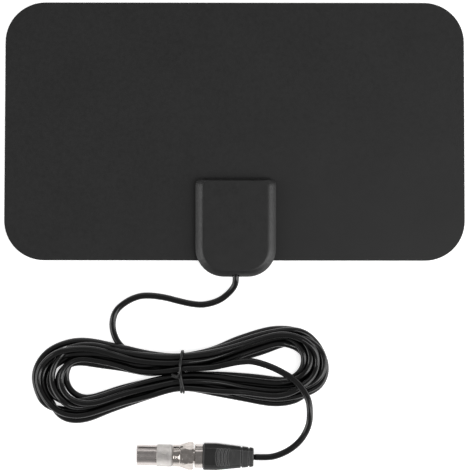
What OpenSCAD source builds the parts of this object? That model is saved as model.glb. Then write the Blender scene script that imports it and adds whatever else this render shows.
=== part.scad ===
// Flat indoor TV antenna: a thin laminated panel with two foil elements inside, a moulded
// housing clamped over its lower edge, and a tied coaxial lead that ends in an F plug with an
// IEC adapter screwed on. It lies face up on a table. Z = 0 is the table and the housing's back.

/* [Panel] */
// Width of the laminated panel
panel_w = 213; // [190:1:240]
// Height of the laminated panel
panel_h = 120; // [110:1:140]
// Corner radius of the panel
panel_corner_r = 18.5; // [8:0.5:26]
// Thickness of the front plastic sheet
front_sheet_t = 0.4; // [0.3:0.05:0.6]
// Thickness of the back plastic sheet
back_sheet_t = 0.4; // [0.3:0.05:0.6]

/* [Foil elements] */
// Thickness of the aluminium foil
foil_t = 0.1; // [0.05:0.01:0.15]
// Bare plastic between a foil and the panel's edge
foil_margin = 9; // [7:0.5:12]
// Gap between the two foils along the centre line
foil_split = 8; // [6:0.5:10]
// Width of a foil's frame around its window
foil_band = 17; // [15:0.5:20]
// Corner radius of a foil's outline
foil_corner_r = 6; // [4:0.5:8]
// Corner radius of a foil's window
foil_window_r = 8; // [4:0.5:10]

/* [Housing] */
// Width of the housing at the panel
housing_w = 37.1; // [35:0.1:42]
// Length of the housing, from the panel inwards to its lower end
housing_len = 45.2; // [43:0.1:50]
// How far the housing reaches past the panel's lower edge
housing_over = 7.5; // [7:0.1:9]
// How far the housing sits to the right of the panel's centre line
housing_x = 0.6; // [-1:0.1:1]
// Height of the closed housing
housing_h = 8.6; // [8.2:0.1:10]
// Corner radius at the housing's top end
housing_top_r = 3; // [1.5:0.1:4]
// Corner radius at the housing's lower end
housing_end_r = 13; // [10:0.5:15]
// Wall of the front cover
cover_wall = 1.5; // [1.2:0.1:1.7]
// Thickness of the back cover
back_cover_t = 1.6; // [1.4:0.1:2]
// Height of the upright lip above the panel's face
lip_h = 3.4; // [2.5:0.1:4]
// Run of the slope along the two sides
side_slope = 4; // [3:0.1:4.5]
// Run of the slope at the top end
top_slope = 1.6; // [0.8:0.1:2]
// Run of the slope at the lower end
end_slope = 2.8; // [2.2:0.1:3.2]
// Chamfer round the back cover's rear edge
back_chamfer = 0.4; // [0.2:0.1:0.6]

/* [Housing screws] */
// Outer radius of a screw boss
boss_r = 2.4; // [2.2:0.1:2.6]
// Distance from the housing's side to the screws
screw_side = 6.6; // [6.4:0.1:7.4]
// Distance from the housing's top end to the upper screws
screw_top = 8; // [7:0.1:9]
// Distance from the panel's lower edge to the lower screws
screw_low = 4.1; // [3.9:0.1:4.6]
// Radius of a screw's shank
screw_r = 0.95; // [0.8:0.05:1.1]
// Radius of a screw's head
screw_head_r = 1.9; // [1.7:0.05:2.1]
// Length of a screw
screw_len = 5.2; // [4.6:0.1:5.6]

/* [Matching board] */
// Width of the matching board
board_w = 22; // [20:0.5:23]
// Height of the matching board
board_h = 13; // [12:0.5:14]
// Thickness of the matching board
board_t = 1; // [0.8:0.1:1.2]
// Distance from the board's centre line to each rivet
rivet_x = 7.5; // [7:0.1:8]
// Outer radius of a rivet's barrel
rivet_r = 1.2; // [1:0.05:1.4]
// Radius of a rivet's flanges
rivet_flange_r = 2; // [1.8:0.05:2.2]
// Thickness of a rivet's flanges
rivet_flange_t = 0.35; // [0.3:0.05:0.4]
// Width of the balun's ferrite core
core_w = 5.4; // [5:0.1:6]
// Height of the balun's ferrite core
core_h = 2.8; // [2.6:0.1:2.9]
// Length of the balun's ferrite core
core_len = 4.2; // [3.8:0.1:4.6]
// Radius of the core's two holes
core_hole_r = 0.65; // [0.5:0.05:0.7]
// Radius of the balun's winding wire
wire_r = 0.2; // [0.15:0.01:0.25]

/* [Coaxial cable] */
// Outer diameter of the coaxial cable
coax_d = 3; // [2.8:0.1:3.1]
// Height of the cable's centre where it leaves the housing
exit_z = 4.6; // [4.5:0.1:4.8]
// Radius of the recess round the cable's exit
exit_recess_r = 2.5; // [2.2:0.1:2.7]
// Depth of that recess from the housing's lower end
exit_recess = 1.45; // [1.2:0.05:1.5]
// Outer radius of the crimp sleeve inside the housing
crimp_r = 2.1; // [2:0.05:2.3]
// Length of the crimp sleeve
crimp_len = 5.5; // [5:0.1:6]
// Height of the tied hank
hank_h = 8.2; // [7.5:0.1:9]
// Diameter of the twist tie's wire
tie_d = 1; // [0.8:0.1:1.2]

/* [Plug] */
// Largest radius of the moulded boot
boot_r = 6; // [5.9:0.1:6.6]
// Radius of the boot at the cable
boot_end_r = 4.2; // [3.6:0.1:4.8]
// Length of the moulded boot
boot_len = 23; // [21:0.5:26]
// Width of a nut across its flats
nut_flats = 11; // [10.8:0.1:11.4]
// Length of the coupling nut
nut_len = 9.4; // [9:0.1:10]
// Radius of the nut's round front collar
nut_collar_r = 5.1; // [5.05:0.01:5.2]
// Radius of the F connector's 3/8-32 thread
thread_r = 4.65; // [4.6:0.01:4.68]
// Radius of the visible ring between boot and nut
ferrule_ring_r = 5.5; // [5.2:0.05:5.7]
// Length of that ring
ferrule_ring_len = 3.9; // [3.5:0.1:4.3]

/* [IEC adapter] */
// Outer radius of the adapter's knurled grip
grip_r = 5.1; // [5:0.01:5.3]
// Length of the knurled grip
grip_len = 6.9; // [6:0.1:8]
// Outer radius of the IEC sleeve
iec_r = 4.76; // [4.7:0.01:4.8]
// Wall of the IEC sleeve
iec_wall = 0.6; // [0.5:0.05:0.7]
// Length of the IEC sleeve in front of the grip
iec_len = 9.2; // [8.8:0.1:9.6]
// Width of the sleeve's lengthwise slit
iec_slit = 0.5; // [0.3:0.05:0.7]
// Radius of the IEC centre pin
iec_pin_r = 1.19; // [1.15:0.01:1.25]

/* [Hidden] */
$fn = 48;

// Clearances
eps = 0.01;        // overshoot of a cut past the face it opens
run_gap = 0.05;    // radial gap of a running fit
hole_gap = 0.3;    // gap round a boss in a sheet
seat_gap = 0.1;    // end gap between the nut and what it turns on
coax_gap = 0.15;   // gap round the cable where it leaves the housing

// Levels, from the back of the housing up
film_z = back_cover_t;
foil_z = film_z + back_sheet_t;
face_z = foil_z + front_sheet_t;
board_z = face_z + board_t;
roof_z = housing_h - cover_wall;

// Places in the plane: the origin is the centre of the panel and housing together
total_h = panel_h + housing_over;
panel_top_y = total_h / 2;
panel_low_y = panel_top_y - panel_h;
housing_low_y = -total_h / 2;
housing_top_y = housing_low_y + housing_len;
screw_x = housing_w / 2 - screw_side;
screw_top_y = housing_top_y - screw_top;
screw_low_y = panel_low_y + screw_low;
board_gap = 1.2;        // between the lower bosses and the board
board_low_y = screw_low_y + boss_r + board_gap;
board_y = board_low_y + board_h / 2;
rivet_y = board_y;
exit_x = housing_x;
crimp_low_y = housing_low_y + cover_wall + end_slope + seat_gap;
crimp_top_y = crimp_low_y + crimp_len;

// The cable and the tie
coax_r = coax_d / 2;
side_count = 8;
flat_r = coax_r * cos(180 / side_count);
lead_points = [
    [exit_x, crimp_low_y, exit_z],
    [exit_x, housing_low_y + exit_recess, exit_z],
    [exit_x, housing_low_y - 1, exit_z],
    [0, -68, 3.2],
    [-3.4, -72, 1.8],
    [-8, -75, 1.5],
    [-14.3, -76.6, 1.5],
    [-20, -76.2, 1.5],
    [-26, -74.9, 1.5],
    [-32, -73.4, 1.5],
    [-39, -72.5, 1.5],
    [-44.5, -73, 1.5],
    [-50, -75.5, 1.5],
    [-54.5, -79.5, 1.5],
    [-56.2, -85, 1.5],
    [-55.4, -90.5, 1.5],
    [-54, -95.4, 1.5],
];
tail_z = hank_h + flat_r;
tail_points = [
    [2.6, -102.8, tail_z],
    [7.4, -102.6, tail_z],
    [12.2, -103.6, tail_z],
    [17.1, -105.3, tail_z],
    [21.9, -107.6, tail_z],
    [26.7, -110.6, tail_z],
    [30, -113.8, tail_z],
    [32.5, -117.4, tail_z],
    [34, -121, tail_z],
    [34.5, -125, 9.3],
    [34.5, -131, 7.8],
    [32.7, -135.8, 6.8],
    [26.1, -142.3, 6.2],
    [16.8, -145.9, boot_r],
];
hank_outline = [
    [-93, -110.5], [-91, -103], [-84.5, -95.7], [-72, -92], [-59, -93.8], [-46, -96.7],
    [-33, -98.5], [-24, -98.9], [-14, -97.1], [-1, -92], [11.8, -87.3], [24.7, -86.4],
    [37.6, -91.5], [43.8, -104.5], [37.6, -116.8], [24.7, -123.2], [5.4, -121.3],
    [-7.5, -119], [-23, -116.4], [-33, -118.7], [-46, -122.3], [-59, -127.4],
    [-72, -130.1], [-84.5, -126], [-91, -118.7],
];
left_loop = [
    [-76.7, -110.5], [-72, -107.7], [-63, -106], [-52.5, -107.3], [-39.5, -110.2],
    [-52.5, -113.7], [-63, -116.8], [-72, -115],
];
right_loop = [
    [-8, -106.9], [-1, -104.4], [11.8, -99.8], [24.7, -97.4], [30.8, -101.6],
    [26, -106.7], [19, -109], [5.4, -108.1],
];
tie_x = -23.6;
tie_r = tie_d / 2;
tie_gap = 0.1;
tie_top = hank_h + tie_r + tie_gap;
tie_low_y = -122;
tie_span = 28;
tie_points = [
    [-28.2, -110.4, tie_top + 0.6],
    [-27.2, -111, tie_top],
    [-26.2, -111, tie_top + 0.9],
    [-24.6, -111.6, tie_top + 0.5],
    [tie_x, -115.2, tie_top],
    [tie_x + 0.4, -116.9, tie_top - 0.1],
    [tie_x + 0.6, -117.2, hank_h - 1],
    [tie_x + 0.3, -117.2, 1.8],
    [tie_x, -116.6, tie_r + 0.1],
    [tie_x, -107.5, tie_r],
    [tie_x, -98.7, tie_r + 0.1],
    [tie_x - 0.3, -98.1, 1.8],
    [tie_x - 0.4, -98.1, hank_h - 1],
    [tie_x - 0.6, -98.5, tie_top - 0.1],
    [tie_x - 0.8, -100.2, tie_top],
    [-24.9, -104.5, tie_top],
    [-24.9, -108.6, tie_top + 0.1],
    [-25.4, -109.8, tie_top],
    [-26.4, -109.8, tie_top + 0.2],
    [-27.6, -109.3, tie_top + 0.4],
];

// The plug: its axis is level, from the front of the boot towards the tip
plug_x = -14.1;
plug_y = -146;
plug_heading = 179;
plug_z = boot_r;
ferrule_neck_r = 3.5;
ferrule_flange_r = 4.5;
ferrule_flange_t = 1;
ferrule_bore_r = 2.3;
ferrule_shank_r = 3.4;
ferrule_shank_len = 9;
ring_gap = 0.6;
nut_at = ferrule_ring_len + ring_gap;
nut_lip = 1.2;
flange_at = nut_at + nut_lip + seat_gap;
barrel_at = flange_at + ferrule_flange_t + run_gap;
grip_gap = 0.45;
grip_at = nut_at + nut_len + grip_gap;
nut_corner_r = nut_flats / 2 / cos(30);
barrel_bore_r = 3.7;
bush_at = barrel_at + 0.6;
bush_len = 5.4;
throat_r = 2.6;
socket_r = 1.5;
plug_wire_r = 0.5;
plug_wire_len = 5.2;
socket_end = flange_at + plug_wire_len + 1;
iec_root_r = 4.4;
iec_root = 3;
iec_bore_r = iec_r - iec_wall;
iec_root_bore_r = iec_bore_r - 0.25;
iec_at = grip_at + grip_len;

// Point on a Catmull-Rom curve between b and c
function curve_point(a, b, c, d, t) =
    0.5 * (2 * b + (c - a) * t + (2 * a - 5 * b + 4 * c - d) * t * t
        + (3 * b - 3 * c + d - a) * t * t * t);

// Smooth open curve through a list of points, with n steps between two of them
function smooth_path(p, n) =
    let (q = concat([2 * p[0] - p[1]], p, [2 * p[len(p) - 1] - p[len(p) - 2]]))
    concat(
        [for (i = [1:len(p) - 1], s = [0:n - 1])
            curve_point(q[i - 1], q[i], q[i + 1], q[i + 2], s / n)],
        [p[len(p) - 1]]);

// Smooth closed curve through a list of points
function smooth_loop(p, n) =
    let (m = len(p))
    [for (i = [0:m - 1], s = [0:n - 1])
        curve_point(p[(i + m - 1) % m], p[i], p[(i + 1) % m], p[(i + 2) % m], s / n)];

function unit(v) = v / norm(v);

// Direction of a path at point i
function heading(p, i) = unit(p[min(i + 1, len(p) - 1)] - p[max(i - 1, 0)]);

// Round tube swept along a path whose direction never runs along ref
module swept_tube(path, r, ref) {
    n = side_count;
    last = len(path) - 1;
    rings = [for (i = [0:last])
        let (t = heading(path, i), across = unit(cross(t, ref)), up = cross(across, t))
        for (k = [0:n - 1])
            let (a = 180 / n + k * 360 / n)
            path[i] + r * (cos(a) * across + sin(a) * up)];
    polyhedron(
        points = rings,
        faces = concat(
            [[for (k = [0:n - 1]) k]],
            [for (i = [0:last - 1], k = [0:n - 1])
                let (j = (k + 1) % n)
                [i * n + k, (i + 1) * n + k, (i + 1) * n + j, i * n + j]],
            [[for (k = [n - 1:-1:0]) last * n + k]]),
        convexity = 6);
}

// Flat rectangle with round corners, centred
module rounded_rect(w, h, r) {
    square([w - 2 * r, h], center = true);
    square([w, h - 2 * r], center = true);
    for (x = [-1, 1], y = [-1, 1])
        translate([x * (w / 2 - r), y * (h / 2 - r)])
            circle(r);
}

module panel_outline() {
    translate([0, panel_top_y - panel_h / 2])
        rounded_rect(panel_w, panel_h, panel_corner_r);
}

module at_screws() {
    for (side = [-1, 1], y = [screw_top_y, screw_low_y])
        translate([housing_x + side * screw_x, y])
            children();
}

// Holes that every layer of the panel has for the bosses and the rivets
module panel_holes(boss_hole_r) {
    at_screws()
        circle(boss_hole_r);
    for (side = [-1, 1])
        translate([housing_x + side * rivet_x, rivet_y])
            circle(rivet_r + run_gap);
}

// One foil element: a frame round a window, fed at its lower inner corner
module foil_outline(grow = 0) {
    w = (panel_w - foil_split) / 2 - foil_margin;
    h = panel_h - 2 * foil_margin;
    translate([foil_split / 2 + w / 2, panel_low_y + panel_h / 2])
        difference() {
            rounded_rect(w + 2 * grow, h + 2 * grow, foil_corner_r + grow);
            rounded_rect(w - 2 * foil_band - 2 * grow, h - 2 * foil_band - 2 * grow,
                foil_window_r - grow);
        }
}

// The front sheet is pressed down over the foils, so each has its own pocket underneath
module front_sheet() {
    color("#2e2f31")
    difference() {
        translate([0, 0, foil_z])
            linear_extrude(front_sheet_t)
                difference() {
                    panel_outline();
                    panel_holes(boss_r + hole_gap);
                }
        for (side = [0, 1])
            mirror([side, 0, 0])
                translate([0, 0, foil_z - eps])
                    linear_extrude(foil_t + eps)
                        foil_outline(run_gap);
    }
}

module back_sheet() {
    color("#28292b")
    translate([0, 0, film_z])
        linear_extrude(back_sheet_t)
            difference() {
                panel_outline();
                panel_holes(boss_r + hole_gap);
            }
}

module foil(side) {
    color("#c9ccd0")
    translate([0, 0, foil_z])
        linear_extrude(foil_t)
            difference() {
                mirror([side < 0 ? 1 : 0, 0])
                    foil_outline();
                panel_holes(boss_r + 2 * hole_gap);
            }
}

module left_foil() {
    foil(-1);
}

module right_foil() {
    foil(1);
}

// Outline of the housing at one level, drawn in by its slopes and by a wall.
// It runs round from the lower left corner: wide arcs below, tight arcs above.
function housing_ring(z, slope, inset) =
    let (
        wide_steps = 10,
        tight_steps = 5,
        least_r = 0.4,
        dx = slope * side_slope + inset,
        low = housing_low_y + slope * end_slope + inset,
        top = housing_top_y - slope * top_slope - inset,
        half = housing_w / 2 - dx,
        wide = housing_end_r - (slope * (side_slope + end_slope) / 2 + inset),
        tight = max(least_r, housing_top_r - slope * top_slope / 2 - inset),
        arcs = [
            [-half + wide, low + wide, wide, 180, wide_steps],
            [half - wide, low + wide, wide, 270, wide_steps],
            [half - tight, top - tight, tight, 0, tight_steps],
            [-half + tight, top - tight, tight, 90, tight_steps],
        ])
    [for (arc = arcs, s = [0:arc[4]])
        let (a = arc[3] + 90 * s / arc[4])
        [housing_x + arc[0] + arc[2] * cos(a), arc[1] + arc[2] * sin(a), z]];

// Profile of the housing's side as [slope share, height] pairs: an upright lip that rolls over
// into the flat face
function side_profile(foot_z, lip_z, face) =
    let (
        n = 8,
        lip = [0, lip_z],
        shoulder = [0.62, face],
        flat = [1, face])
    concat(
        [[0, foot_z]],
        [for (i = [0:n])
            let (t = i / n)
            (1 - t) * (1 - t) * lip + 2 * t * (1 - t) * shoulder + t * t * flat]);

// Solid lofted through the housing's outline at each point of the profile
module housing_loft(foot_z, face, inset) {
    profile = side_profile(foot_z, face_z + lip_h, face);
    rings = [for (p = profile) housing_ring(p[1], p[0], inset)];
    n = len(rings[0]);
    last = len(rings) - 1;
    polyhedron(
        points = [for (ring = rings, point = ring) point],
        faces = concat(
            [[for (k = [0:n - 1]) k]],
            [for (i = [0:last - 1], k = [0:n - 1])
                let (j = (k + 1) % n)
                [i * n + k, (i + 1) * n + k, (i + 1) * n + j, i * n + j]],
            [[for (k = [n - 1:-1:0]) last * n + k]]),
        convexity = 4);
}

// Cylinder along Y, from y up by len
module rod_y(x, y, z, r, len) {
    translate([x, y, z])
        rotate([-90, 0, 0])
            cylinder(h = len, r = r);
}

// Upright rib across the cable inside the housing, hollowed to hold the crimp sleeve
rib_t = 1;
rib_side = 0.7;

module crimp_rib(y, low_z, high_z) {
    half_w = crimp_r + rib_side;
    difference() {
        translate([exit_x - half_w, y, low_z])
            cube([2 * half_w, rib_t, high_z - low_z]);
        rod_y(exit_x, y - eps, exit_z, crimp_r, rib_t + 2 * eps);
    }
}

// Moulded shell with a flat face and sloping sides. It sits on the panel's face, and past the
// panel's edge its skirt comes down onto the back cover.
module front_cover() {
    root_z = roof_z + cover_wall / 3;
    pilot_spare = 0.8;
    color("#2f3032")
    difference() {
        union() {
            difference() {
                housing_loft(film_z, housing_h, 0);
                housing_loft(film_z - 1, roof_z, cover_wall);
                translate([housing_x - housing_w, panel_low_y, film_z - eps])
                    cube([2 * housing_w, housing_len, face_z - film_z + eps]);
            }
            at_screws()
                translate([0, 0, film_z])
                    cylinder(h = root_z - film_z, r = boss_r);
            for (y = [crimp_low_y + rib_t, crimp_top_y - rib_t])
                crimp_rib(y, exit_z + seat_gap, root_z);
        }
        at_screws()
            translate([0, 0, film_z - eps])
                cylinder(h = screw_len - film_z + pilot_spare, r = screw_r);
        rod_y(exit_x, housing_low_y - 1, exit_z, coax_r + coax_gap, 1 + crimp_low_y - housing_low_y);
        rod_y(exit_x, housing_low_y - 1, exit_z, exit_recess_r, 1 + exit_recess);
    }
}

// Flat plate behind the panel, with countersunk screw holes, pockets for the rivets and a cradle
// for the crimp sleeve
module back_cover() {
    outline = [for (p = housing_ring(0, 0, 0)) [p[0], p[1]]];
    foot = [for (p = housing_ring(0, 0, back_chamfer)) [p[0], p[1]]];
    color("#27282a")
    difference() {
        union() {
            hull() {
                linear_extrude(back_chamfer)
                    polygon(foot);
                translate([0, 0, back_chamfer])
                    linear_extrude(back_cover_t - back_chamfer)
                        polygon(outline);
            }
            for (y = [crimp_low_y, panel_low_y - rib_t - seat_gap])
                crimp_rib(y, film_z - eps, exit_z - seat_gap);
        }
        at_screws() {
            translate([0, 0, -eps])
                cylinder(h = film_z + 2 * eps, r = screw_r + run_gap);
            translate([0, 0, -eps])
                cylinder(h = back_cover_t / 2 + eps, r1 = screw_head_r + run_gap, r2 = screw_r + run_gap);
        }
        for (side = [-1, 1])
            translate([housing_x + side * rivet_x, rivet_y, film_z - rivet_flange_t - run_gap])
                cylinder(h = rivet_flange_t + run_gap + eps, r = rivet_flange_r + hole_gap);
    }
}

// Four countersunk self-tapping screws, driven from behind
module housing_screws() {
    slot_w = 0.5;
    slot_half = 0.6 * screw_head_r;
    tip_len = 1;
    color("#8d9093")
    at_screws()
        difference() {
            union() {
                cylinder(h = back_cover_t / 2, r1 = screw_head_r, r2 = screw_r);
                cylinder(h = screw_len - tip_len, r = screw_r);
                translate([0, 0, screw_len - tip_len])
                    cylinder(h = tip_len, r1 = screw_r, r2 = screw_r / 3);
            }
            for (turn = [0, 90])
                rotate([0, 0, turn])
                    translate([-slot_half, -slot_w / 2, -eps])
                        cube([2 * slot_half, slot_w, slot_w]);
        }
}

module matching_board() {
    color("#2d6b46")
    translate([0, 0, face_z])
        linear_extrude(board_t)
            difference() {
                translate([housing_x, board_y])
                    rounded_rect(board_w, board_h, 1);
                for (side = [-1, 1])
                    translate([housing_x + side * rivet_x, rivet_y])
                        circle(rivet_r + run_gap);
            }
}

// Eyelet that clamps the board to the panel and joins it to a foil
module rivet(side) {
    bore_r = rivet_r - 0.4;
    low_z = film_z - rivet_flange_t;
    high_z = board_z + rivet_flange_t;
    color("#c9a75a")
    translate([housing_x + side * rivet_x, rivet_y, 0])
        rotate_extrude()
            polygon([
                [bore_r, low_z], [rivet_flange_r, low_z], [rivet_flange_r, film_z],
                [rivet_r, film_z], [rivet_r, board_z], [rivet_flange_r, board_z],
                [rivet_flange_r, high_z], [bore_r, high_z],
            ]);
}

module left_rivet() {
    rivet(-1);
}

module right_rivet() {
    rivet(1);
}

// Two-hole ferrite core, lying on the board with its holes along the cable
core_y = board_y - core_len / 2;
core_hole_x = core_w / 4;
core_mid_z = board_z + core_h / 2;

module balun_core() {
    color("#3b3936")
    difference() {
        translate([housing_x, core_y, core_mid_z])
            rotate([-90, 0, 0])
                linear_extrude(core_len)
                    rounded_rect(core_w, core_h, core_h / 2 - eps);
        for (side = [-1, 1])
            rod_y(housing_x + side * core_hole_x, core_y - eps, core_mid_z, core_hole_r,
                core_len + 2 * eps);
    }
}

// Two closed turns of wire through the core's holes, each made of two equal halves
module balun_winding() {
    spread = 1.05 * wire_r;
    straight = core_len + 0.6;
    color("#b0572c")
    translate([housing_x, core_y + core_len / 2, core_mid_z])
        for (flip = [0, 180], layer = [-1, 1])
            rotate([0, 0, flip])
                translate([0, 0, layer * spread]) {
                    rod_y(core_hole_x, -straight / 2, 0, wire_r, straight);
                    translate([0, straight / 2, 0])
                        rotate_extrude(angle = 180)
                            translate([core_hole_x, 0])
                                circle(wire_r);
                }
}

module chip(x, y, w, h, t) {
    translate([housing_x + x - w / 2, board_y + y - h / 2, board_z])
        cube([w, h, t]);
}

module chip_capacitor() {
    color("#a58f6d")
    chip(-board_w / 2 + 4, board_h / 2 - 2, 2, 1.25, 0.8);
}

module chip_inductor() {
    color("#5c5f63")
    chip(board_w / 2 - 4, board_h / 2 - 2, 2, 1.25, 1);
}

// Sleeve crimped over the cable's jacket and braid. It holds the cable in the housing.
dielectric_r = 0.9;
conductor_r = 0.3;
dielectric_len = 4.2;
conductor_reach = 2;

module coax_crimp() {
    color("#b9bcbf")
    difference() {
        rod_y(exit_x, crimp_low_y, exit_z, crimp_r, crimp_len);
        rod_y(exit_x, crimp_low_y - eps, exit_z, dielectric_r, crimp_len + 2 * eps);
    }
}

module coax_dielectric() {
    color("#e9e7df")
    difference() {
        rod_y(exit_x, crimp_low_y, exit_z, dielectric_r, crimp_len + dielectric_len);
        rod_y(exit_x, crimp_low_y - eps, exit_z, conductor_r, crimp_len + dielectric_len + 2 * eps);
    }
}

// Bare centre wire, bent down onto the board
module coax_conductor() {
    drop = exit_z - board_z;
    straight = crimp_len + dielectric_len + conductor_reach - drop;
    color("#b87a45") {
        rod_y(exit_x, crimp_low_y, exit_z, conductor_r, straight);
        translate([exit_x, crimp_low_y + straight, board_z])
            rotate([90, 0, 90])
                rotate_extrude(angle = 90)
                    translate([drop, 0])
                        circle(conductor_r, $fn = 16);
    }
}

module coax_lead() {
    color("#232427")
    swept_tube(smooth_path(lead_points, 2), coax_r, [0, 0, 1]);
}

// Peanut-shaped hank, tied at its waist: the outer form of all its strands
module coax_hank() {
    color("#1f2023")
    difference() {
        linear_extrude(hank_h)
            difference() {
                polygon(smooth_loop(hank_outline, 3));
                polygon(smooth_loop(left_loop, 3));
                polygon(smooth_loop(right_loop, 3));
            }
        translate([tie_x - tie_r - tie_gap, tie_low_y, -eps])
            cube([tie_d + 2 * tie_gap, tie_span, tie_d + tie_gap]);
    }
}

module coax_tail() {
    axis = [cos(plug_heading), sin(plug_heading), 0];
    boot_end = [plug_x, plug_y, plug_z] - boot_len * axis;
    color("#232427")
    swept_tube(smooth_path(concat(tail_points, [boot_end - 3 * axis, boot_end]), 2), coax_r, [0, 0, 1]);
}

module twist_tie() {
    color("#1b1c1e")
    swept_tube(smooth_path(tie_points, 2), tie_r, [1, 0.13, 0.21]);
}

// Puts Z along the plug's axis, at a distance from the front of the boot
module on_plug_axis(at) {
    translate([plug_x, plug_y, plug_z])
        rotate([0, 90, plug_heading])
            translate([0, 0, at])
                children();
}

// Moulded boot of rounded square section: straight at the front, then a taper down to the cable,
// with two narrow ring grooves near the cable and bowed finger grips above and below
boot_straight = 6;
boot_round = 1.2;

function boot_at(z, front, end) = front + (end - front) * (z - boot_straight) / (boot_len - boot_straight);

// Half of the boot's side view, from its axis out to a front and an end half width
module boot_half(front, end) {
    ease = 0.4;
    polygon([
        [0, 0], [front - ease, 0], [front, ease], [front, boot_straight],
        [boot_at(boot_len - ease, front, end), boot_len - ease], [end - ease, boot_len],
        [0, boot_len],
    ]);
}

module boot_half_ringed(front, end) {
    ring_w = 0.55;
    ring_depth = 0.45;
    difference() {
        boot_half(front, end);
        for (z = [boot_len - 5.6, boot_len - 2.2])
            translate([boot_at(z, front, end) - ring_depth, z - ring_w / 2])
                square([2 * ring_depth, ring_w]);
    }
}

// Runs the half view that is its child, and its mirror image, right across the boot
module boot_slab() {
    rotate([90, 0, 0])
        linear_extrude(height = 3 * boot_r, center = true)
            union() {
                children();
                mirror([1, 0])
                    children();
            }
}

module plug_boot() {
    color("#2b2c2e")
    on_plug_axis(0)
    rotate([180, 0, 0])
    difference() {
        intersection() {
            boot_slab()
                boot_half_ringed(boot_r, boot_end_r);
            rotate([0, 0, 90])
                boot_slab()
                    boot_half_ringed(boot_r, boot_end_r);
            rotate_extrude()
                boot_half_ringed(boot_round * boot_r, boot_round * boot_end_r);
        }
        translate([0, 0, -eps])
            cylinder(h = ferrule_shank_len + eps, r = ferrule_shank_r);
        boot_grip_cuts();
    }
}

// Four bowed grooves across the top and four across the bottom of the boot, all of one depth
module boot_grip_cuts() {
    bow_r = 9;
    groove_w = 0.8;
    groove_depth = 0.5;
    pitch = 1.6;
    count = 4;
    half_span = 3.9;
    difference() {
        for (side = [-1, 1], i = [0:count - 1])
            translate([0, 0, boot_straight + i * pitch + bow_r])
                rotate([0, side * 90, 0])
                    intersection() {
                        difference() {
                            cylinder(h = 2 * boot_r, r = bow_r + groove_w / 2);
                            translate([0, 0, -eps])
                                cylinder(h = 2 * boot_r + 2 * eps, r = bow_r - groove_w / 2);
                        }
                        translate([side > 0 ? 0 : -2 * bow_r, -half_span, 0])
                            cube([2 * bow_r, 2 * half_span, 2 * boot_r]);
                    }
        boot_slab()
            boot_half(boot_r - groove_depth, boot_end_r - groove_depth);
    }
}

// Turned body of the plug: a shank inside the boot, the ring seen behind the nut, the neck that
// the nut turns on and the flange that keeps the nut on
module plug_ferrule() {
    ease = 0.3;
    color("#cfccc8")
    on_plug_axis(0)
    rotate_extrude()
        polygon([
            [ferrule_bore_r, -ferrule_shank_len], [ferrule_shank_r, -ferrule_shank_len],
            [ferrule_shank_r, 0], [ferrule_ring_r - ease, 0], [ferrule_ring_r, ease],
            [ferrule_ring_r, ferrule_ring_len - ease], [ferrule_ring_r - ease, ferrule_ring_len],
            [ferrule_neck_r, ferrule_ring_len], [ferrule_neck_r, flange_at],
            [ferrule_flange_r, flange_at], [ferrule_flange_r, flange_at + ferrule_flange_t],
            [ferrule_bore_r, flange_at + ferrule_flange_t],
        ]);
}

module plug_insulator() {
    len = ferrule_shank_len + flange_at + ferrule_flange_t;
    color("#eceae4")
    on_plug_axis(-ferrule_shank_len)
    difference() {
        cylinder(h = len, r = ferrule_bore_r);
        translate([0, 0, -eps])
            cylinder(h = len + 2 * eps, r = plug_wire_r);
    }
}

// Centre wire of the plug, bare in front of the flange
module plug_conductor() {
    straight = ferrule_shank_len + flange_at + plug_wire_len;
    color("#c07f4a")
    on_plug_axis(-ferrule_shank_len) {
        cylinder(h = straight, r = plug_wire_r);
        translate([0, 0, straight])
            cylinder(h = plug_wire_r, r1 = plug_wire_r, r2 = plug_wire_r / 2);
    }
}

// Hexagonal nut whose front is turned down in a long cone to a round collar
module coupling_nut() {
    edge_r = nut_corner_r;
    chamfer = 0.5;
    hex_end = 2.2;
    cone_end = 6.4;
    rim = 0.2;
    color("#d6d2cd")
    on_plug_axis(nut_at)
    difference() {
        intersection() {
            rotate([0, 0, 30])
                cylinder(h = nut_len, r = nut_corner_r, $fn = 6);
            rotate_extrude()
                polygon([
                    [0, 0], [edge_r - chamfer, 0], [edge_r, chamfer], [edge_r, hex_end],
                    [nut_collar_r, cone_end], [nut_collar_r, nut_len - rim],
                    [nut_collar_r - rim, nut_len], [0, nut_len],
                ]);
        }
        translate([0, 0, -eps])
            cylinder(h = nut_lip + 2 * eps, r = ferrule_neck_r + run_gap);
        translate([0, 0, nut_lip])
            cylinder(h = nut_len, r = thread_r + run_gap);
    }
}

// Turned body of the adapter: the threaded barrel inside the nut and the knurled grip
module adapter_body() {
    ease = 0.25;
    floor_at = bush_at + bush_len;
    color("#d3cfca")
    on_plug_axis(0)
    rotate_extrude()
        polygon([
            [barrel_bore_r, barrel_at], [thread_r - ease, barrel_at], [thread_r, barrel_at + ease],
            [thread_r, grip_at], [grip_r - ease, grip_at], [grip_r, grip_at + ease],
            [grip_r, iec_at - ease], [grip_r - ease, iec_at], [iec_root_r, iec_at],
            [iec_root_r, iec_at - iec_root], [throat_r, iec_at - iec_root],
            [throat_r, floor_at], [barrel_bore_r, floor_at],
        ]);
}

// Rolled sleeve, slit along its length, with a narrower root pressed into the grip
module iec_sleeve() {
    ease = 0.3;
    slit_turn = 227;
    color("#cdc9c5")
    on_plug_axis(iec_at)
    difference() {
        rotate_extrude()
            polygon([
                [iec_root_bore_r, -iec_root], [iec_root_r, -iec_root], [iec_root_r, 0],
                [iec_r, 0], [iec_r, iec_len - ease], [iec_r - ease, iec_len],
                [iec_bore_r, iec_len], [iec_bore_r, 0], [iec_root_bore_r, 0],
            ]);
        rotate([0, 0, slit_turn])
            translate([0, -iec_slit / 2, eps])
                cube([2 * iec_r, iec_slit, iec_len]);
    }
}

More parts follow.
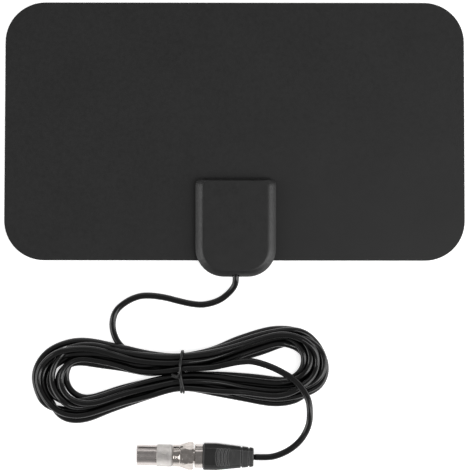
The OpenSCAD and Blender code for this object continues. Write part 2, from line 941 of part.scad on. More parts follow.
// One turned contact: the round IEC pin in front and the socket for the plug's wire behind
module adapter_contact() {
    tip = 0.6;
    tip_r = iec_pin_r / 2;
    pin_end = iec_at + iec_len - tip;
    color("#dbd7d0")
    on_plug_axis(0)
    rotate_extrude()
        polygon([
            [plug_wire_r + run_gap, bush_at], [socket_r, bush_at], [socket_r, iec_at],
            [iec_pin_r, iec_at], [iec_pin_r, pin_end - tip], [tip_r, pin_end], [0, pin_end],
            [0, socket_end], [plug_wire_r + run_gap, socket_end],
        ]);
}

// Disc that carries the pin in the root of the IEC sleeve
module iec_insulator() {
    color("#efeee9")
    on_plug_axis(iec_at - iec_root)
    difference() {
        cylinder(h = iec_root, r = iec_root_bore_r);
        translate([0, 0, -eps])
            cylinder(h = iec_root + 2 * eps, r = socket_r);
    }
}

// Bush that carries the socket in the mouth of the threaded barrel
module f_insulator() {
    color("#efeee9")
    on_plug_axis(bush_at)
    difference() {
        cylinder(h = bush_len, r = barrel_bore_r);
        translate([0, 0, -eps])
            cylinder(h = bush_len + 2 * eps, r = socket_r);
    }
}

front_sheet();
back_sheet();
left_foil();
right_foil();
front_cover();
back_cover();
housing_screws();
matching_board();
left_rivet();
right_rivet();
balun_core();
balun_winding();
chip_capacitor();
chip_inductor();
coax_crimp();
coax_dielectric();
coax_conductor();
coax_lead();
coax_hank();
coax_tail();
twist_tie();
plug_boot();
plug_ferrule();
plug_insulator();
plug_conductor();
coupling_nut();
adapter_body();
iec_sleeve();
adapter_contact();
iec_insulator();
f_insulator();
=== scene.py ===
import math

import bpy
import numpy as np
from mathutils import Matrix, Vector


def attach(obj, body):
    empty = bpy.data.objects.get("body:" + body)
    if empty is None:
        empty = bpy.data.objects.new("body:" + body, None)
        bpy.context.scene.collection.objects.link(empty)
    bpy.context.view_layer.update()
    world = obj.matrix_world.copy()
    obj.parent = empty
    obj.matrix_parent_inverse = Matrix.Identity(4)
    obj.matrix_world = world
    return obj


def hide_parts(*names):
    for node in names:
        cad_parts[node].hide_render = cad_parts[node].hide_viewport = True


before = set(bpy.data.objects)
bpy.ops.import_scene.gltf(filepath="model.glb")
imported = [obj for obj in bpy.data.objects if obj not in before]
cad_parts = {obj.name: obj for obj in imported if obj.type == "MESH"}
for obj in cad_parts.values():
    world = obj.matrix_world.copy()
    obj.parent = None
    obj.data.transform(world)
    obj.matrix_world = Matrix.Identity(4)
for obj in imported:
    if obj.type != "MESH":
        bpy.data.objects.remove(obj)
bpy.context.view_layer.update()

MM = 0.001

# The photograph's camera, in metres and radians: it looks almost straight down
CAMERA_PLACE = (0.000257, -0.092409, 0.898715)
CAMERA_TILT, CAMERA_ROLL = 0.0534455, 0.0013467
CAMERA_SENSOR, CAMERA_LENS = 36, 148.745
CAMERA_CLIP = (0.05, 20)


def make_camera():
    data = bpy.data.cameras.new("camera")
    data.sensor_fit = "HORIZONTAL"
    data.sensor_width = CAMERA_SENSOR
    data.lens = CAMERA_LENS
    data.clip_start, data.clip_end = CAMERA_CLIP
    cam = bpy.data.objects.new("camera", data)
    bpy.context.scene.collection.objects.link(cam)
    cam.matrix_world = (
        Matrix.Translation(CAMERA_PLACE)
        @ Matrix.Rotation(CAMERA_TILT, 4, "X")
        @ Matrix.Rotation(CAMERA_ROLL, 4, "Z")
    )
    bpy.context.scene.camera = cam


# The cord's diameter, in mm
CABLE_D = 3.0
# The stretch from the housing to the hank, and from the hank to the plug's boot, in mm
LEAD = [
    (0.6, -59.35, 4.6), (0.6, -62.3, 4.6), (0.6, -64.75, 4.6), (0, -68, 3.2), (-3.4, -72, 1.8),
    (-8, -75, 1.5), (-14.3, -76.6, 1.5), (-20, -76.2, 1.5), (-26, -74.9, 1.5), (-32, -73.4, 1.5),
    (-39, -72.5, 1.5), (-44.5, -73, 1.5), (-50, -75.5, 1.5), (-54.5, -79.5, 1.5),
    (-56.2, -85, 1.5), (-55.4, -90.5, 1.5),
]
TAIL = [
    (7.4, -102.6, 9.586), (12.2, -103.6, 9.586), (17.1, -105.3, 9.586),
    (21.9, -107.6, 9.586), (26.7, -110.6, 9.586), (30, -113.8, 9.586), (32.5, -117.4, 9.586),
    (34, -121, 9.586), (34.5, -125, 9.3), (34.3, -130.4, 7.8), (32.7, -135, 6.8),
    (30.1, -138.9, 6.4), (26.2, -142.4, 6.2), (21.6, -144.9, 6.05), (16.8, -146.3, 6.0),
    (11.896, -146.454, 6.0), (8.8965, -146.4014, 6.0),
]
# Where the lead goes on into the hank's first turn, and where the tail leaves its last one, in mm
LEAD_ON = [(-53.2, -94.6, 1.5), (-49.5, -98.3, 1.5)]
TAIL_FROM = [(2.6, -102.8, 9.586)]
# The distance between the points of those two stretches, in mm
END_STEP = 2.5
# Stations round the hank, clockwise from its left end: the band's inner and outer edges, in mm
BAND = [
    ((-76.2, -111), (-93.4, -110.5)), ((-71.2, -109.9), (-87.3, -97.7)),
    ((-65, -106.2), (-72, -92)), ((-52.5, -107.3), (-53, -94.8)),
    ((-39.5, -109.6), (-38, -98)), ((-24, -107.6), (-24, -98.9)),
    ((-8, -106.6), (-10, -95.8)), ((5.4, -102), (2, -90.8)), ((20, -98.2), (19, -86.4)),
    ((27.5, -98.6), (35, -89.6)), ((30.8, -101.8), (43.8, -104.5)),
    ((25.4, -104.8), (38.4, -116.9)), ((19, -109), (22, -123.4)),
    ((5.4, -108.1), (3, -121)), ((-8, -107.4), (-9, -118.7)),
    ((-24, -107.7), (-24, -116.4)), ((-39.5, -110.6), (-38, -119.9)),
    ((-52.5, -113.7), (-55.8, -125.7)), ((-63, -116.8), (-72.2, -130.8)),
    ((-70.8, -113.6), (-86.4, -126.2)),
]
# Where each turn's strand lies across the band, from 0 inside to 1 outside, and in which layer, at
# its eight stops: left end, upper left, upper waist, upper right, right end, and back below
TURNS = [
    ((1, 0), (1, 0), (0, 1), (0.17, 1), (0.3, 0), (0.33, 0), (0.5, 0), (0.33, 0)),
    ((0.42, 0), (0, 0), (0, 0), (0, 0), (0.53, 0), (0.67, 0), (1, 0), (1, 0)),
    ((0.81, 0), (0.5, 1), (0.5, 0), (0.45, 0), (0.15, 1), (0, 0), (0, 0), (0, 0)),
    ((0.2, 0), (0.33, 0), (0.5, 1), (0.75, 0), (0.4, 1), (0.17, 1), (0, 1), (0.17, 1)),
    ((0.61, 0), (0.67, 0), (1, 0), (1, 0), (0.77, 0), (1, 0), (1, 1), (0.67, 0)),
    ((1, 0), (1, 0), (1, 1), (0.83, 1), (1, 0), (0.83, 1), (0.5, 1), (0.5, 1)),
    ((0.54, 1), (0.83, 1), (1, 2), (0.67, 2), (0.65, 1), (0.67, 2), (1, 2), (0.83, 1)),
    ((0.88, 1), (0.67, 2), (0.5, 2), (0.5, 1), (0.9, 1), (0.5, 1), (0.5, 2), (0.33, 2)),
    ((0.31, 1), (0.17, 1), (0, 2), (0, 2), (0, 2), (0, 2), (0, 2), (0, 2)),
]
STOPS = 8
# The turns that the hank starts and ends at, and how finely they are drawn
TURN_FROM, TURN_TO = 0.175, 8.31
PER_TURN = 84
# The height of a layer that lies in the grooves of the one below, as a share of the cord's diameter
LAYER = 0.87
# The distance between the points that settle, and the radius that a bend is opened to, in mm
TURN_STEP = 3.3
LEAST_BEND = 10.0
# How often the bends are opened before the strands settle and within each round of that
FIRST_OPEN, ROUND_OPEN = 3000, 24
# The rounds in which they settle, and how many pass before near strands are looked for again
ROUNDS, NEAR_EVERY = 300, 8
# The share of each fault that is put right at once: a tight bend, a stretched step, a place outside
# the band, two strands in one another, and a kink
UNBEND, UNSTRETCH, INTO_BAND, APART, UNKINK = 0.5, 0.3, 0.5, 0.35, 0.25
# The pull back to where a place was drawn, less in height, and how far it sinks in a round, in mm
HOLD, HOLD_AXES, SINK = 0.02, np.array([1, 1, 0.4]), 0.02
# Points are near within so many diameters, if they are more than so many points apart on the cord
NEAR, NEIGHBOURS = 1.5, 4
# How many points of the lead's end and of the tail's start stay in place as the hank settles
LEAD_KEPT, TAIL_KEPT = 3, 2
# The places drawn from one point of an open curve to the next
FINE = 12
# The distance between the points of the finished route, and the number of its tube's sides
ROUTE_STEP, ROUTE_SIDES = 1.1, 20


def between(a, b, c, d, f):
    """A place between b and c, a share f of the way, on a smooth curve through all four."""
    return 0.5 * (2 * b + (c - a) * f + (2 * a - 5 * b + 4 * c - d) * f * f
                  + (3 * b - 3 * c + d - a) * f ** 3)


def closed_curve_at(points, t):
    """A place on a smooth closed curve through the given points, t points from the first."""
    i = int(math.floor(t))
    return between(*(points[(i + k) % len(points)] for k in (-1, 0, 1, 2)), t - i)


def open_curve(points, step):
    """Points a step apart on a smooth curve through the given points."""
    p = np.array(points, float)
    p = np.vstack([2 * p[0] - p[1], p, 2 * p[-1] - p[-2]])
    fine = [between(*p[i - 1:i + 3], f)
            for i in range(1, len(p) - 2) for f in np.linspace(0, 1, FINE, endpoint=False)]
    return spaced(np.vstack([fine, p[-2]]), step)


def spaced(points, step):
    """Rows a step apart along their first three columns, with the other columns carried on."""
    run = np.r_[0, np.cumsum(np.linalg.norm(np.diff(points[:, :3], axis=0), axis=1))]
    at = np.linspace(0, run[-1], max(2, round(run[-1] / step) + 1))
    return np.stack([np.interp(at, run, points[:, k]) for k in range(points.shape[1])], 1)


def slot_at(t, stops):
    """The strand's share across the band and its layer, eased from one stop to the next."""
    i = int(t * STOPS)
    f = t * STOPS - i
    return stops[i] + (stops[i + 1] - stops[i]) * (f * f * (3 - 2 * f))


def hank_point(t, band, stops):
    """A place on a turn, with the band's inner edge and its outer edge there."""
    inner, outer = closed_curve_at(band, (t - math.floor(t)) * len(band)).reshape(2, 2)
    share, layer = slot_at(t, stops)
    across = outer - inner
    width = np.linalg.norm(across)
    p = inner + across / width * (CABLE_D / 2 + share * (width - CABLE_D))
    return (*p, CABLE_D / 2 + layer * CABLE_D * LAYER, *inner, *outer)


def open_bends(p, fixed, times):
    """Opens every bend that is tighter than the least radius, and keeps the strand's length."""
    for _ in range(times):
        bow = (p[:-2] + p[2:]) / 2 - p[1:-1]
        size = np.linalg.norm(bow, axis=1) + 1e-9
        over = np.maximum(size - TURN_STEP ** 2 / (2 * LEAST_BEND), 0)
        ease = bow / size[:, None] * over[:, None] * UNBEND
        shift = np.zeros_like(p)
        shift[1:-1] += ease
        shift[:-2] -= ease / 2
        shift[2:] -= ease / 2
        run = np.diff(p, axis=0)
        length = np.linalg.norm(run, axis=1)[:, None]
        pull = run / length * (length - TURN_STEP) * UNSTRETCH
        shift[:-1] += pull
        shift[1:] -= pull
        shift[fixed] = 0
        p = p + shift
        p[:, 2] = np.maximum(p[:, 2], CABLE_D / 2)
    return p


def into_band(p, inner, across, width):
    """Moves places that lie outside the band towards its edge."""
    lies = ((p[:, :2] - inner) * across).sum(1)
    kept = np.clip(lies, CABLE_D / 2, width - CABLE_D / 2)
    p[:, :2] += across * (kept - lies)[:, None] * INTO_BAND


def settle(rows, fixed):
    """Turns that lie in one another move apart until they lie side by side within the band."""
    points, inner, outer = rows[:, :3].copy(), rows[:, 3:5], rows[:, 5:7]
    width = np.linalg.norm(outer - inner, axis=1)
    across = (outer - inner) / width[:, None]
    points = open_bends(points, fixed, FIRST_OPEN)
    p = points.copy()
    index = np.arange(len(p))
    for r in range(ROUNDS):
        if r % NEAR_EVERY == 0:
            gap = np.abs(p[:, None, :] - p[None, :, :]).max(-1)
            near = (gap < CABLE_D * NEAR) & (index[None, :] - index[:, None] > NEIGHBOURS)
            left, right = np.nonzero(near)
        apart = p[left] - p[right]
        dist = np.linalg.norm(apart, axis=1) + 1e-9
        over = np.maximum(CABLE_D - dist, 0)
        push = apart / dist[:, None] * over[:, None] * APART
        total = np.zeros_like(p)
        count = np.zeros(len(p))
        for which, sign in ((left, 1), (right, -1)):
            for k in range(3):
                total[:, k] += np.bincount(which, push[:, k] * sign, len(p))
            count += np.bincount(which, over > 0, len(p))
        moved = p + total / np.sqrt(np.maximum(1, count))[:, None]
        bow = np.zeros_like(p)
        bow[1:-1] = (p[:-2] + p[2:]) / 2 - p[1:-1]
        kink = np.zeros_like(p)
        kink[1:-1] = (bow[:-2] + bow[2:]) / 2 - bow[1:-1]
        moved -= UNKINK * kink
        moved += HOLD * (points - p) * HOLD_AXES
        moved[:, 2] -= SINK
        into_band(moved, inner, across, width)
        moved[fixed] = p[fixed]
        p = open_bends(moved, fixed, ROUND_OPEN)
    return p


def cord_route():
    """The cord's whole route, in mm: the lead, the settled turns of the hank, and the tail."""
    band = np.array(BAND, float).reshape(len(BAND), 4)
    stops = np.array(TURNS).reshape(-1, 2)
    drawn = round((TURN_TO - TURN_FROM) * PER_TURN)
    turns = np.array([hank_point(t, band, stops)
                      for t in np.linspace(TURN_FROM, TURN_TO, drawn)])
    lead = open_curve(LEAD + LEAD_ON, END_STEP)
    tail = open_curve(TAIL_FROM + TAIL, END_STEP)
    kept = (lead[-LEAD_KEPT:], turns[0, 3:]), (tail[:TAIL_KEPT], turns[-1, 3:])
    ends = [np.hstack([part, np.tile(edges, (len(part), 1))]) for part, edges in kept]
    rows = spaced(np.vstack([ends[0], turns, ends[1]]), TURN_STEP)
    fixed = np.zeros(len(rows), bool)
    fixed[:LEAD_KEPT] = fixed[-TAIL_KEPT:] = True
    return np.vstack([lead[:-LEAD_KEPT], settle(rows, fixed), tail[TAIL_KEPT:]])


def new_object(name, data):
    obj = bpy.data.objects.new(name, data)
    bpy.context.scene.collection.objects.link(obj)
    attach(obj, "antenna")
    return obj


# The size of a tube's end faces, as a share of its own
END_SIZE = 0.8


def tubes(name, routes, radius, sides):
    """A mesh of round closed tubes, each along its own route, in mm, with eased ends."""
    places, faces = [], []
    for route in routes:
        along = np.gradient(route, axis=0)
        along /= np.linalg.norm(along, axis=1)[:, None]
        side = np.cross(along[0], (0, 0, 1))
        first = len(places)
        for k, (place, way) in enumerate(zip(route, along)):
            side = side - way * (side @ way)
            side /= np.linalg.norm(side)
            up = np.cross(way, side)
            size = radius * (END_SIZE if k in (0, len(route) - 1) else 1)
            for turn in np.arange(sides) / sides * math.tau:
                places.append(place + (side * math.cos(turn) + up * math.sin(turn)) * size)
        for k in range(len(route) - 1):
            a, b = first + k * sides, first + (k + 1) * sides
            for i in range(sides):
                j = (i + 1) % sides
                faces.append((a + i, a + j, b + j, b + i))
        faces.append(tuple(first + i for i in reversed(range(sides))))
        faces.append(tuple(first + (len(route) - 1) * sides + i for i in range(sides)))
    data = bpy.data.meshes.new(name)
    data.from_pydata([tuple(p * MM) for p in places], [], faces)
    data.polygons.foreach_set("use_smooth", [True] * len(faces))
    data.update()
    return data


# The tie's wire, twice round the waist of the hank, and the line that its ends are wound on, in mm
TIE_R = 0.5
TIE_WIRE = [
    (-26.2, -110.2, 9.5), (-24.9, -110.5, 9.4), (-24.5, -112.2, 9.4), (-24.3, -115.2, 8.9),
    (-24.3, -116.8, 7.2), (-24.3, -117, 4), (-24.3, -116.6, 1.5), (-24.3, -115.4, 0.5),
    (-24.2, -107.5, 0.5), (-24.2, -99.4, 0.6), (-24.1, -98.2, 2), (-24.1, -98, 5),
    (-24.1, -98.4, 7.6), (-24.2, -99.8, 8.8), (-24.5, -102.2, 9), (-24.9, -104.6, 9.2),
    (-24.6, -107.2, 9.4), (-24.4, -109.4, 10.1), (-24.1, -111.4, 9.9), (-23.6, -114, 9.2),
    (-23.2, -115.8, 8.6), (-23.1, -117, 6.8), (-23.2, -117.1, 4), (-23.2, -116.5, 1.4),
    (-23.3, -115.4, 0.5), (-23.4, -107.5, 0.5), (-23.6, -99.4, 0.6), (-23.6, -98.1, 2.2),
    (-23.5, -97.9, 5), (-23.6, -98.3, 7.7), (-24, -99.7, 9.2), (-24.4, -102.2, 9.8),
    (-24.7, -104.8, 10.2), (-25, -107.4, 10.1), (-25.6, -109.1, 9.9), (-26.3, -109.5, 9.8),
]
TIE_ENDS = ((-25.7, -109.9, 9.7), (-28.4, -109.1, 10))
# How far from that line the wound ends lie, how far they turn at each of their points, and how many
WOUND_R, WOUND_TURN, WOUND_POINTS = 0.47, 0.55, 18
# The distance between the points of the tie's routes, and the number of its tubes' sides
TIE_STEP, TIE_SIDES = 0.4, 10


def make_tie():
    """A thin wire tie: two turns round the hank, with its two ends wound round each other."""
    start, end = (np.array(p) for p in TIE_ENDS)
    wires = [TIE_WIRE]
    for half in (0, math.pi):
        wire = []
        for k in range(WOUND_POINTS + 1):
            turn = k * WOUND_TURN + half
            off_line = np.array([0, math.cos(turn), math.sin(turn)])
            wire.append(start + (end - start) * k / WOUND_POINTS + WOUND_R * off_line)
        wires.append(wire)
    routes = [open_curve(wire, TIE_STEP) for wire in wires]
    tie = new_object("wire_tie", tubes("wire_tie", routes, TIE_R, TIE_SIDES))
    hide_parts("twist_tie")
    return tie


def make_cord():
    """The whole cord as one tube, in the place of its three CAD nodes."""
    route = open_curve(cord_route(), ROUTE_STEP)
    cable = new_object("coax_cable", tubes("coax_cable", [route], CABLE_D / 2, ROUTE_SIDES))
    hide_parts("coax_lead", "coax_hank", "coax_tail")
    return cable


class Nodes:
    """Short calls that add nodes to a tree."""

    def __init__(self, tree):
        self.tree = tree

    def add(self, kind, **settings):
        node = self.tree.nodes.new(kind)
        for key, value in settings.items():
            setattr(node, key, value)
        return node

    def link(self, source, target):
        self.tree.links.new(source, target)

    def math(self, operation, *values):
        """A maths node, each of whose values is a number or another node's output."""
        node = self.add("ShaderNodeMath", operation=operation)
        for socket, value in zip(node.inputs, values):
            if isinstance(value, (int, float)):
                socket.default_value = value
            else:
                self.link(value, socket)
        return node.outputs[0]

    def ramp(self, factor, low, high, start, end):
        """A value that goes from low to high as the factor goes from start to end."""
        node = self.add("ShaderNodeMapRange")
        for key, value in (("From Min", start), ("From Max", end), ("To Min", low),
                           ("To Max", high)):
            node.inputs[key].default_value = value
        self.link(factor, node.inputs["Value"])
        return node.outputs["Result"]

    def rays_seen(self):
        """1 for camera, glossy and transmission rays, and 0 for the rest."""
        path = self.add("ShaderNodeLightPath").outputs
        shown = self.math("MAXIMUM", path["Is Camera Ray"], path["Is Glossy Ray"])
        return self.math("MAXIMUM", shown, path["Is Transmission Ray"])


class Shader(Nodes):
    """A Principled material whose colour, roughness and bump come from object-space noise."""

    def __init__(self, name, **values):
        self.material = bpy.data.materials.new(name)
        self.material.use_nodes = True
        super().__init__(self.material.node_tree)
        self.bsdf = self.tree.nodes["Principled BSDF"]
        for key, value in values.items():
            self.bsdf.inputs[key.replace("_", " ")].default_value = value
        self.coord = self.add("ShaderNodeTexCoord").outputs["Object"]

    def noise(self, scale, detail, stretch=None):
        node = self.add("ShaderNodeTexNoise")
        node.inputs["Scale"].default_value = scale
        node.inputs["Detail"].default_value = detail
        source = self.coord
        if stretch:
            mapping = self.add("ShaderNodeMapping")
            mapping.inputs["Scale"].default_value = stretch
            self.link(source, mapping.inputs["Vector"])
            source = mapping.outputs["Vector"]
        self.link(source, node.inputs["Vector"])
        return node.outputs["Fac"]

    def spread(self, factor, low, high):
        """The middle of a noise's range, spread from low to high."""
        return self.ramp(factor, low, high, 0.3, 0.7)

    def mix(self, factor, a, b):
        node = self.add("ShaderNodeMix", data_type="RGBA")
        self.link(factor, node.inputs["Factor"])
        for socket, value in ((node.inputs[6], a), (node.inputs[7], b)):
            if isinstance(value, tuple):
                socket.default_value = value
            else:
                self.link(value, socket)
        return node.outputs[2]

    def colour(self, factor, tone, low, high):
        """Varies the tone by a few steps from low to high."""
        out = self.mix(self.spread(factor, 0.0, 1.0), shade(tone, low), shade(tone, high))
        self.link(out, self.bsdf.inputs["Base Color"])
        return out

    def roughness(self, factor, low, high):
        self.link(self.spread(factor, low, high), self.bsdf.inputs["Roughness"])

    def bump(self, height, distance, strength, after=None):
        node = self.add("ShaderNodeBump")
        node.inputs["Strength"].default_value = strength
        node.inputs["Distance"].default_value = distance
        self.link(height, node.inputs["Height"])
        if after:
            self.link(after, node.inputs["Normal"])
        self.link(node.outputs["Normal"], self.bsdf.inputs["Normal"])
        return node.outputs["Normal"]


def linear(value):
    """An sRGB value from 0 to 255 as a linear one from 0 to 1."""
    return value / 255 / 12.92 if value <= 10 else ((value / 255 + 0.055) / 1.055) ** 2.4


def shade(tone, change):
    """An sRGB grey or triple, moved lighter or darker by a few steps, as a linear colour."""
    triple = (tone,) * 3 if isinstance(tone, int) else tone
    return (*(linear(min(255, max(0, v + change))) for v in triple), 1.0)


def film(name, tone):
    """Matt film with a fine orange-peel grain."""
    s = Shader(name, Roughness=0.5, IOR=1.46)
    s.colour(s.noise(35, 4), tone, -2, 2)
    s.roughness(s.noise(600, 3), 0.42, 0.54)
    s.bump(s.noise(2600, 2), 0.00003, 0.5)
    return s.material


def moulded(name, tone, rough=0.42):
    """Hard plastic, resin or ceramic with the fine grain of its mould."""
    s = Shader(name, Roughness=rough, IOR=1.5)
    s.colour(s.noise(220, 4), tone, -3, 3)
    s.roughness(s.noise(900, 3), rough - 0.05, rough + 0.07)
    s.bump(s.noise(3200, 2), 0.00002, 0.5)
    return s.material


def rubber(name, tone, low, high):
    """Soft plastic, as rough as from low to high. Gives the shader and its colour."""
    s = Shader(name, Roughness=0.4, IOR=1.45)
    base = s.colour(s.noise(160, 4), tone, -3, 4)
    s.roughness(s.noise(500, 3), low, high)
    s.bump(s.noise(1400, 3), 0.00003, 0.4)
    return s, base


# The width of the boot's painted edge highlights, in metres, and the steps by which they are
# painted lighter
EDGE_R, EDGE_HIGHLIGHT_LIGHTER = 0.0005, 76


def edge_share(s, radius):
    """How close a place is to a sharp edge, from the way a small bevel would turn its normal."""
    bevel = s.add("ShaderNodeBevel", samples=6)
    bevel.inputs["Radius"].default_value = radius
    facing = s.add("ShaderNodeNewGeometry").outputs["True Normal"]
    dot = s.add("ShaderNodeVectorMath", operation="DOT_PRODUCT")
    s.link(bevel.outputs[0], dot.inputs[0])
    s.link(facing, dot.inputs[1])
    return s.ramp(s.math("SUBTRACT", 1.0, dot.outputs["Value"]), 0.0, 1.0, 0.01, 0.1)


def gripped(name, tone):
    """The boot's soft plastic, with a highlight painted lighter along the edges of its grips and
    rings.
    """
    s, base = rubber(name, tone, 0.3, 0.44)
    # Painted highlight: the base colour is made lighter at sharp edges, standing in for light on
    # the crests
    painted_edge_highlight = s.mix(edge_share(s, EDGE_R), base, shade(tone, EDGE_HIGHLIGHT_LIGHTER))
    s.link(painted_edge_highlight, s.bsdf.inputs["Base Color"])
    return s.material


def plated(name, tone, rough=0.2, stretch=None, ripple=None):
    """Bare or plated metal. The stretch draws its grain out, and the ripple bends its shine."""
    s = Shader(name, Metallic=1.0, Roughness=rough)
    s.colour(s.noise(500, 4), tone, 0, -14)
    s.roughness(s.noise(900, 4, stretch), rough - 0.06, rough + 0.08)
    fine = s.bump(s.noise(2400, 3, stretch), 0.00001, 0.4)
    if ripple:
        s.bump(s.noise(260, 1), ripple, 1.0, fine)
    return s.material


# The plug's axis, which runs along x, and where the nut's collar ends on it, in metres
AXIS_Y, AXIS_Z = -0.1464, 0.006
COLLAR_END = -0.0243
# The knurl: how many threads go round the grip, their rise in a turn and their depth
KNURL_ROUND, KNURL_ROW, KNURL_DEPTH = 40, 0.0009, 0.00012
# The turned rings of the nut's collar: the distance between two, and their depth
RING_STEP, RING_DEPTH = 0.0008, 0.00004


def along_plug(s):
    """The place along the plug's axis, and the angle round it in turns, as shader values."""
    axes = s.add("ShaderNodeSeparateXYZ")
    s.link(s.coord, axes.inputs[0])
    across = s.math("SUBTRACT", axes.outputs[1], AXIS_Y)
    up = s.math("SUBTRACT", axes.outputs[2], AXIS_Z)
    return axes.outputs[0], s.math("DIVIDE", s.math("ARCTAN2", up, across), math.tau)


def knurled(name, tone):
    """The adapter's grip, rolled with a fine diamond knurl."""
    s = Shader(name, Metallic=1.0, Roughness=0.4)
    s.colour(s.noise(700, 4), tone, 0, -12)
    s.roughness(s.noise(1500, 3), 0.34, 0.46)
    along, round_it = along_plug(s)
    turns = s.math("MULTIPLY", round_it, KNURL_ROUND)
    rows = s.math("DIVIDE", along, KNURL_ROW)
    waves = [s.math("SINE", s.math("MULTIPLY", s.math(way, rows, turns), math.tau))
             for way in ("ADD", "SUBTRACT")]
    fine = s.bump(s.noise(2400, 3), 0.00001, 0.4)
    s.bump(s.math("MAXIMUM", *waves), KNURL_DEPTH, 1.0, fine)
    return s.material


def ringed(name, tone, rough):
    """The nut, mirror bright, with fine turned rings on its collar."""
    s = Shader(name, Metallic=1.0, Roughness=rough)
    s.colour(s.noise(420, 4), tone, 0, -22)
    s.roughness(s.noise(700, 4), rough - 0.05, rough + 0.1)
    along, _ = along_plug(s)
    rings = s.math("SINE", s.math("MULTIPLY", along, math.tau / RING_STEP))
    collar = s.math("LESS_THAN", along, COLLAR_END)
    fine = s.bump(s.noise(330, 2), 0.00025, 1.0)
    s.bump(s.math("MULTIPLY", rings, collar), RING_DEPTH, 1.0, fine)
    return s.material


def dress(nodes, material):
    for name in nodes:
        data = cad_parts[name].data
        data.materials.clear()
        data.materials.append(material)


def dress_all(cable, tie):
    dress(["front_sheet"], film("black_film", 24))
    dress(["back_sheet"], film("black_film_back", 28))
    dress(["left_foil", "right_foil"], plated("aluminium_foil", (229, 230, 231), 0.3))
    dress(["front_cover"], moulded("black_abs", 21))
    dress(["back_cover"], moulded("black_abs_back", 28))
    dress(["housing_screws"], plated("zinc", (188, 189, 192), 0.3))
    dress(["matching_board"], moulded("solder_resist", (63, 124, 89), 0.3))
    dress(["left_rivet", "right_rivet"], plated("brass", (220, 197, 143), 0.25))
    dress(["balun_core"], moulded("ferrite", (79, 77, 74), 0.6))
    dress(["balun_winding", "coax_conductor", "plug_conductor"], plated("copper", (217, 153, 111)))
    dress(["chip_capacitor"], moulded("ceramic_chip", (188, 173, 149)))
    dress(["chip_inductor"], moulded("inductor_chip", (124, 126, 129)))
    dress(["coax_crimp"], plated("tinned", (203, 203, 203), 0.25))
    dress(["coax_dielectric"], moulded("polyethylene", (237, 236, 231)))
    dress(["plug_boot"], gripped("boot_pvc", 20))
    dress(["plug_ferrule"], plated("nickel", (190, 184, 180), 0.12, ripple=0.0002))
    dress(["coupling_nut"], ringed("nickel_nut", (196, 189, 184), 0.1))
    dress(["adapter_body"], knurled("nickel_knurl", (206, 202, 199)))
    dress(["iec_sleeve"], plated("nickel_sleeve", (200, 193, 190), 0.26, (0.08, 1.5, 1.5)))
    dress(["adapter_contact"], plated("nickel_contact", (214, 206, 202), 0.2))
    dress(["plug_insulator", "iec_insulator", "f_insulator"],
          moulded("white_insulator", (241, 240, 236)))
    cable.data.materials.append(rubber("cable_pvc", 10, 0.12, 0.2)[0].material)
    tie.data.materials.append(rubber("tie_pvc", 26, 0.3, 0.42)[0].material)


# The world's plain level, the level that shows as white, and the floor's own glow near the object
WORLD, WHITE, GLOW = 0.3, 1.0, 0.66
# The distances from the object between which the floor's glow rises to white, in metres
GLOW_RISE = (0.4, 1.4)
# The world is white in view below the first of these, as the height of a unit step, and plain above
WHITE_BELOW = (0.12, 0.26)
# The floor: half its side, and how far it lies under the frame's own, in metres
FLOOR_HALF, FLOOR_DROP = 4, 0.0002


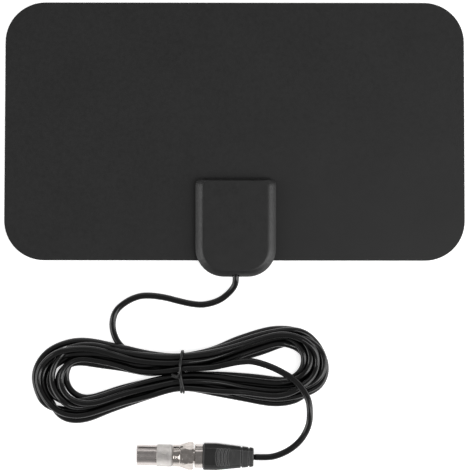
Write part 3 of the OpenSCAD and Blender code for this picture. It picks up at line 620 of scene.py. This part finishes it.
def make_stage():
    """A pale floor that shows as white and still takes the object's shadow."""
    half = FLOOR_HALF
    data = bpy.data.meshes.new("floor")
    data.from_pydata([(-half, -half, 0), (half, -half, 0), (half, half, 0), (-half, half, 0)],
                     [], [(0, 1, 2, 3)])
    floor = bpy.data.objects.new("floor", data)
    bpy.context.scene.collection.objects.link(floor)
    floor.location.z = -FLOOR_DROP
    s = Shader("floor", Base_Color=(0.9, 0.9, 0.9, 1), Roughness=0.95, Specular_IOR_Level=0.0)
    away = s.add("ShaderNodeVectorMath", operation="LENGTH")
    s.link(s.coord, away.inputs[0])
    glow = s.add("ShaderNodeEmission")
    rise = s.ramp(away.outputs["Value"], GLOW, WHITE, *GLOW_RISE)
    s.link(s.math("MULTIPLY", s.rays_seen(), rise), glow.inputs["Strength"])
    both = s.add("ShaderNodeAddShader")
    s.link(s.bsdf.outputs[0], both.inputs[0])
    s.link(glow.outputs[0], both.inputs[1])
    s.link(both.outputs[0], s.tree.nodes["Material Output"].inputs["Surface"])
    data.materials.append(s.material)


def lamp(name, place, target, size, radiance):
    """An area lamp of a given radiance, facing a point."""
    data = bpy.data.lights.new(name, "AREA")
    data.shape = "RECTANGLE"
    data.size, data.size_y = size
    data.energy = radiance * size[0] * size[1] * math.pi
    obj = bpy.data.objects.new(name, data)
    bpy.context.scene.collection.objects.link(obj)
    aim = Vector(target) - Vector(place)
    obj.matrix_world = Matrix.Translation(place) @ aim.to_track_quat("-Z", "Y").to_matrix().to_4x4()


def make_world():
    """A plain dim world, white in view near the horizon."""
    world = bpy.data.worlds.new("studio")
    bpy.context.scene.world = world
    world.use_nodes = True
    n = Nodes(world.node_tree)
    back = n.tree.nodes["Background"]
    back.inputs["Color"].default_value = (1, 1, 1, 1)
    axes = n.add("ShaderNodeSeparateXYZ")
    n.link(n.add("ShaderNodeTexCoord").outputs["Generated"], axes.inputs[0])
    low = n.ramp(axes.outputs[2], WHITE - WORLD, 0.0, *WHITE_BELOW)
    n.link(n.math("MULTIPLY_ADD", low, n.rays_seen(), WORLD), back.inputs["Strength"])


def make_lights():
    lamp("key", (0.85, -0.55, 1.2), (0, -0.08, 0), (0.6, 0.6), 4.5)
    lamp("rear", (0, 1.25, 0.9), (0, -0.05, 0), (1.6, 0.5), 1.0)
    lamp("sheen", (0.34, -0.32, 1.2), (0, -0.08, 0), (0.3, 0.3), 4.4)
    lamp("right", (1.35, -0.35, 0.62), (0, -0.1, 0.05), (1.1, 1.0), 3.5)
    lamp("left", (-1.35, -0.25, 0.68), (0, -0.1, 0.05), (1.1, 1.0), 3.0)


bpy.context.scene.view_settings.view_transform = "Standard"
make_camera()
tie = make_tie()
cable = make_cord()
dress_all(cable, tie)
make_stage()
make_world()
make_lights()

bpy.context.view_layer.update()
